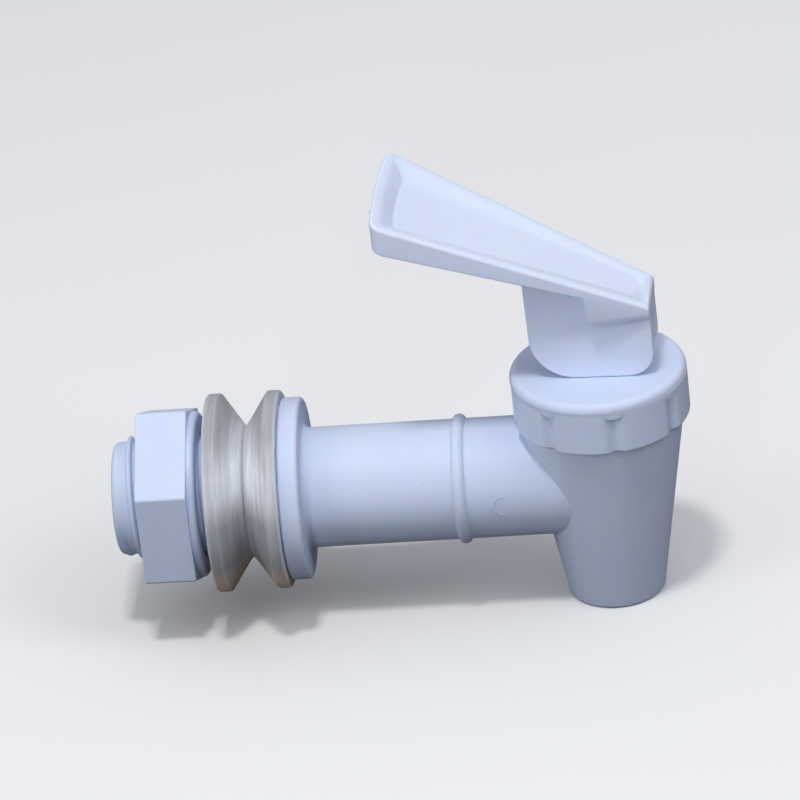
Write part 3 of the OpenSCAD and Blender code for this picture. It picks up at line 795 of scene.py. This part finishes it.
# The face's edges are rounded, and it is inset for the rim and taken down in steps. Its sides run
# softly into the floor, and at the tip the wall gets steeper down to a crease.
pick(lever, "FACE", is_floor)
bpy.ops.mesh.region_to_loop()
bpy.ops.mesh.bevel(offset=rim_round, segments=4, affect="EDGES")
pick(lever, "FACE", is_floor)
bpy.ops.mesh.inset(thickness=side_rim - rim_round, depth=0)
pick(lever, "VERT", lambda v: v.co.x < middle_x, among=True)
move(x=tip_rim - side_rim, z=-(tip_rim - side_rim) * top_slope)
past_in = past_down = past_run = 0
for i in range(scoop_steps):
    now_in = (i + 1) / scoop_steps
    now_down = (1 - math.cos(math.pi * now_in)) / 2
    now_run = scoop_tip_run * now_down ** 0.6
    inward = now_in - past_in
    down = now_down - past_down
    pick(lever, "FACE", is_floor)
    bpy.ops.mesh.extrude_region_move(TRANSFORM_OT_translate={"value": (0, 0, -hair)})
    pick(lever, "VERT", lambda v: v.co.x < middle_x, among=True)
    move(x=now_run - past_run, z=-scoop_tip_depth * down - (now_run - past_run) * top_slope)
    wide = half_w(paddle_back) - side_rim
    widen((wide - scoop_side_run * now_in) / (wide - scoop_side_run * past_in))
    pick(lever, "FACE", is_floor)
    pick(lever, "VERT", lambda v: v.co.x > middle_x, among=True)
    move(x=-scoop_end_run * inward, z=-scoop_end_depth * down + scoop_end_run * inward * top_slope)
    wide = end_w / 2 - side_rim
    widen((wide - scoop_end_run * now_in) / (wide - scoop_end_run * past_in))
    past_in, past_down, past_run = now_in, now_down, now_run

# The underside is cut into strips, and the cheeks and skirts are drawn down from it
for place, normal in (((cheek_back_top, 0, 0), (1, 0, 0)), ((skirt_top_x, 0, 0), (1, 0, 0)),
                      ((0, skirt_lip, 0), (0, 1, 0)), ((0, -skirt_lip, 0), (0, 1, 0)),
                      ((0, cheek_outer, 0), (0, 1, 0)), ((0, -cheek_outer, 0), (0, 1, 0)),
                      ((0, cheek_inner, 0), (0, 1, 0)), ((0, -cheek_inner, 0), (0, 1, 0))):
    pick(lever, "FACE", lambda f: f.normal.z < -0.5)
    bpy.ops.mesh.bisect(plane_co=place, plane_no=normal)


def over_cheek(face):
    """Whether a face of the underside lies over a cheek."""
    middle = face.calc_center_median()
    return cheek_inner < abs(middle.y) < cheek_outer and middle.x > cheek_back_top


def over_skirt(face):
    """Whether a face of the underside lies over a skirt."""
    middle = face.calc_center_median()
    return abs(middle.y) > cheek_outer and middle.x > skirt_top_x


pick(lever, "FACE", lambda f: f.normal.z < -0.5 and (over_cheek(f) or over_skirt(f)))
bpy.ops.mesh.extrude_region_move(TRANSFORM_OT_translate={"value": (0, 0, -mm)})
flatten_to(skirt_z)
pick(lever, "VERT", lambda v: v.co.z < skirt_z + hair and abs(v.co.x - skirt_top_x) < hair
     and abs(v.co.y) > past_lip)
move(x=skirt_foot_x - skirt_top_x)
widen(half_w(skirt_foot_x) / half_w(skirt_top_x))
pick(lever, "VERT", lambda v: v.co.z < skirt_z + hair and abs(v.co.x - skirt_top_x) < hair
     and abs(v.co.y) < past_lip)
move(x=skirt_inner_x - skirt_top_x, z=-skirt_rear_drop)
pick(lever, "VERT", lambda v: v.co.z < skirt_z - mm and abs(v.co.x - skirt_inner_x) < hair
     and abs(v.co.y) > cheek_outer + 10 * hair)
widen(skirt_rear_lip / skirt_lip)
pick(lever, "VERT", lambda v: v.co.z < skirt_z + hair and v.co.x > paddle_front - hair
     and abs(v.co.y) < past_lip)
move(z=-skirt_front_drop)
pick(lever, "VERT", lambda v: v.co.z < skirt_z + hair and v.co.x < cheek_back_top + hair)
move(x=cheek_lean * cheek_lean_above)
pick(lever, "FACE", lambda f: f.normal.z < -0.2 and over_cheek(f)
     and f.calc_center_median().z < skirt_z + hair)
bpy.ops.mesh.extrude_region_move(TRANSFORM_OT_translate={"value": (0, 0, -mm)})
flatten_to(cheek_foot)
pick(lever, "VERT", lambda v: v.co.z < cheek_foot + hair and v.co.x < cheek_back)
move(x=cheek_lean * (1 - cheek_lean_above))
pick(lever, "VERT", lambda v: v.co.z < cheek_foot + hair and v.co.x > paddle_front - hair)
move(x=cheek_front - paddle_front)

# The heels and toes are rounded, and then every other sharp edge that stands out
for end_x, cut, steps in ((cheek_back, heel_cut, 12), (cheek_front, toe_cut, 8)):
    pick(lever, "EDGE", lambda e: all(v.co.z < cheek_foot + hair and abs(v.co.x - end_x) < 0.1 * mm
                                      for v in e.verts))
    bpy.ops.mesh.bevel(offset=cut, segments=steps, affect="EDGES")
bpy.ops.mesh.select_all(action="SELECT")
bpy.ops.mesh.remove_doubles(threshold=hair)
bpy.ops.mesh.select_mode(type="EDGE")
bpy.ops.mesh.select_all(action="DESELECT")
bpy.ops.mesh.edges_select_sharp(sharpness=math.radians(32))
pick(lever, "EDGE", lambda e: e.is_convex and any(v.co.z < ridge_z(v.co.x) - 1.2 * rim_round
                                                  for v in e.verts), among=True)
bpy.ops.mesh.bevel(offset=edge_round, segments=3, affect="EDGES", clamp_overlap=True)
bpy.ops.object.mode_set(mode="OBJECT")

# A wall closes the slot at the front, and the pivots sit in blind sockets
front_wall = start_piece("front_wall", bpy.ops.mesh.primitive_cube_add, size=1,
                         location=(wall_x, 0, wall_z),
                         scale=(wall_t, 2 * (cheek_inner + wall_sunk), wall_h))
cut_by(lever, front_wall, "UNION")
sockets = start_piece("sockets", bpy.ops.mesh.primitive_cylinder_add, vertices=48, radius=socket_r,
                      depth=socket_len, location=(0, 0, pivot_z), rotation=(math.pi / 2, 0, 0))
cut_by(lever, sockets, "DIFFERENCE")
lever.rotation_euler.z = lever_turn
lever.location.x = spout_x
settle(lever)
bpy.ops.object.shade_smooth_by_angle(angle=math.radians(30))
apply_modifier(lever, "WEIGHTED_NORMAL", keep_sharp=True)
lever_plastic = moulded_plastic("lever_plastic", lever_wave, lever_gloss, lever_shade, lever_tint)
dress(lever, lever_plastic)
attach(lever, "lever")
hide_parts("lever")

# Tip flash
# Small nubs of flash that the mould left along the paddle's tip edge. They are of the lever's own
# plastic and one with it. Each has its place across the tip and its radius, in millimetres.
nub_spots = ((-6.2, 0.34), (-8.4, 0.2), (-9.6, 0.24), (-10.4, 0.18), (-4.6, 0.16), (6.5, 0.2), (2.2, 0.13))
nub_z = ridge_z(paddle_back) - 0.75 * mm
nub_shape = (0.9, 1.5, 0.7)
nubs = start_piece("tip_flash", bpy.ops.mesh.primitive_ico_sphere_add, subdivisions=2,
                   radius=0.15 * mm, location=(paddle_back - tip_bow, 0, nub_z))
for across, size in nub_spots:
    back_x = paddle_back - tip_bow * (1 - (across * mm / tip_half) ** 2)
    bpy.ops.mesh.primitive_ico_sphere_add(subdivisions=2, radius=size * mm, scale=nub_shape,
                                          location=(back_x, across * mm, nub_z - 0.4 * size * mm))
bpy.ops.object.mode_set(mode="OBJECT")
nubs.rotation_euler.z = lever_turn
nubs.location.x = spout_x
settle(nubs)
bpy.ops.object.shade_smooth()
dress(nubs, lever_plastic)
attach(nubs, "lever")

# Floor, light and camera
# A pale floor and surround. A small soft box high up in front casts the paddle's shadow on the cap,
# and a larger one at each side, a soft spot from the front and a sky that is brighter overhead fill
# it in. The camera stands where the photograph was taken from.
floor_r = 6
floor_z = cad_low.z
floor_dark = (0.07, 0.07, 0.072, 1)
floor_pale = (0.78, 0.79, 0.8, 1)
bpy.ops.object.select_all(action="DESELECT")
bpy.ops.mesh.primitive_circle_add(vertices=64, radius=floor_r, fill_type="NGON",
                                  location=(0, 0, floor_z))
floor = bpy.context.object
floor.name = "floor"
floor_paint, floor_shader, floor_place = new_material("pale_floor")
seen = floor_place.node("LightPath", None, None, "Is Camera Ray")
seen.blend(floor_dark, floor_pale).feed(floor_shader, "Base Color")
floor_shader.inputs["Roughness"].default_value = 0.9
floor_shader.inputs["Specular IOR Level"].default_value = 0.0
below = seen.node("NewGeometry", None, None, "Backfacing")
clear = seen.node("BsdfTransparent")
painted = Value(seen.tree, floor_shader.outputs[0])
floor_mix = below.node("MixShader", None, {0: below, 1: painted, 2: clear})
floor_mix.feed(seen.tree.nodes["Material Output"], "Surface")
floor.data.materials.append(floor_paint)


def soft_light(name, kind, place, aim, power, **settings):
    """A lamp at a place, turned towards its aim."""
    lamp = bpy.data.lights.new(name, kind)
    lamp.energy = power
    for setting, value in settings.items():
        setattr(lamp, setting, value)
    light = bpy.data.objects.new(name, lamp)
    bpy.context.scene.collection.objects.link(light)
    light.location = place
    light.rotation_euler = (Vector(aim) - Vector(place)).to_track_quat("-Z", "Y").to_euler()


soft_light("key_softbox", "AREA", (0, -0.26, 0.83), (0.012, 0, 0.012), 2.76, size=0.09,
           color=(1.0, 0.98, 0.945))
soft_light("side_softbox", "AREA", (0.55, -0.25, 0.6), (0.012, 0, 0.012), 1.35, size=0.35)
soft_light("left_softbox", "AREA", (-0.55, -0.35, 0.35), (0.03, 0, 0.0), 0.85, size=0.25)
soft_light("front_spot", "SPOT", (-0.14, -0.61, 0.13), (0.027, 0, 0.05), 6.5,
           spot_size=math.radians(15), spot_blend=1.0, shadow_soft_size=0.08)

sky_low = (0.24, 0.245, 0.27, 1)
sky_high = (0.6, 0.61, 0.645, 1)
sky_seen = (0.8, 0.81, 0.82, 1)
world = bpy.data.worlds.new("pale_surround")
bpy.context.scene.world = world
world.use_nodes = True
shown = Value(world.node_tree).node("LightPath", None, None, "Is Camera Ray")
upward = shown.node("SeparateXYZ", None, {0: shown.node("TexCoord", None, None, "Generated")}, "Z")
sky = upward.rising(0, 0.8).blend(sky_low, sky_high)
shown.blend(sky, sky_seen).feed(world.node_tree.nodes["Background"], "Color")

camera_place = Vector((0.111367, -0.861580, 0.495719))
camera_right = Vector((0.99383309, 0.05276492, -0.09752765))
camera_up = Vector((0.05911405, 0.49201208, 0.86857909))
camera_turn = Matrix((camera_right, camera_up, camera_right.cross(camera_up))).transposed()
camera_lens = 300.88
camera = bpy.data.objects.new("camera", bpy.data.cameras.new("camera"))
bpy.context.scene.collection.objects.link(camera)
bpy.context.scene.camera = camera
camera.data.sensor_width = 36
camera.data.lens = camera_lens
camera.data.clip_start = 0.05
camera.data.clip_end = 50
camera.location = camera_place
camera.rotation_euler = camera_turn.to_euler()
bpy.context.scene.view_settings.view_transform = "Standard"
